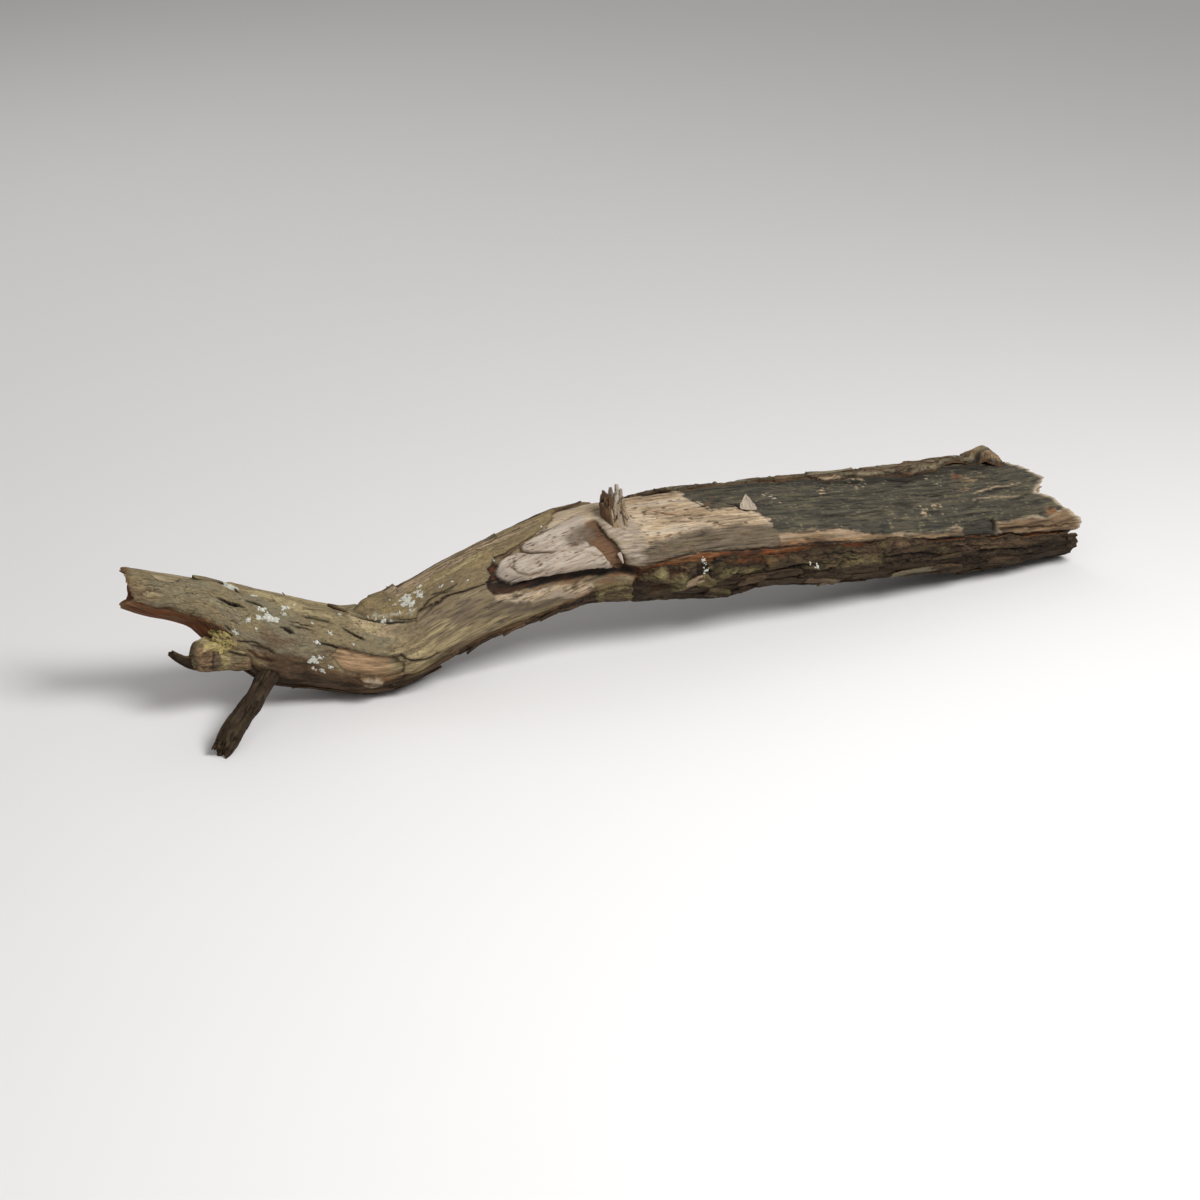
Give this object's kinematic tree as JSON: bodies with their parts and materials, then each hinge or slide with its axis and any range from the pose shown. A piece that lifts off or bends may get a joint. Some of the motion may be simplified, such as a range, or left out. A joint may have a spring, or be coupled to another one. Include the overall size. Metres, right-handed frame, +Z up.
{
  "type": "dead tree trunk",
  "caption": "A weathered dead tree trunk lying on the ground, with a broken fork, a dead side branch, a snapped stub and loosened bark",
  "frame": {"origin": "on the ground, at the middle of the trunk's outline seen from above", "axes": "+X along the trunk from its broken fork to its thick end, +Z up, -Y towards the side with the snapped stub and the side branch"},
  "size_m": [1.76, 0.2686, 0.3079],
  "materials": {
    "bare_wood": "weathered, dry and matt",
    "bark": "rough olive-brown bark"
  },
  "bodies": {
    "root": {"wood": "bare_wood", "bark_fork_sleeve": "bark", "bark_bend_sheet": "bark", "bark_belly_sheet": "bark", "bark_underside_sheet": "bark", "bark_back_sheet": "bark"}
  },
  "joints": []
}
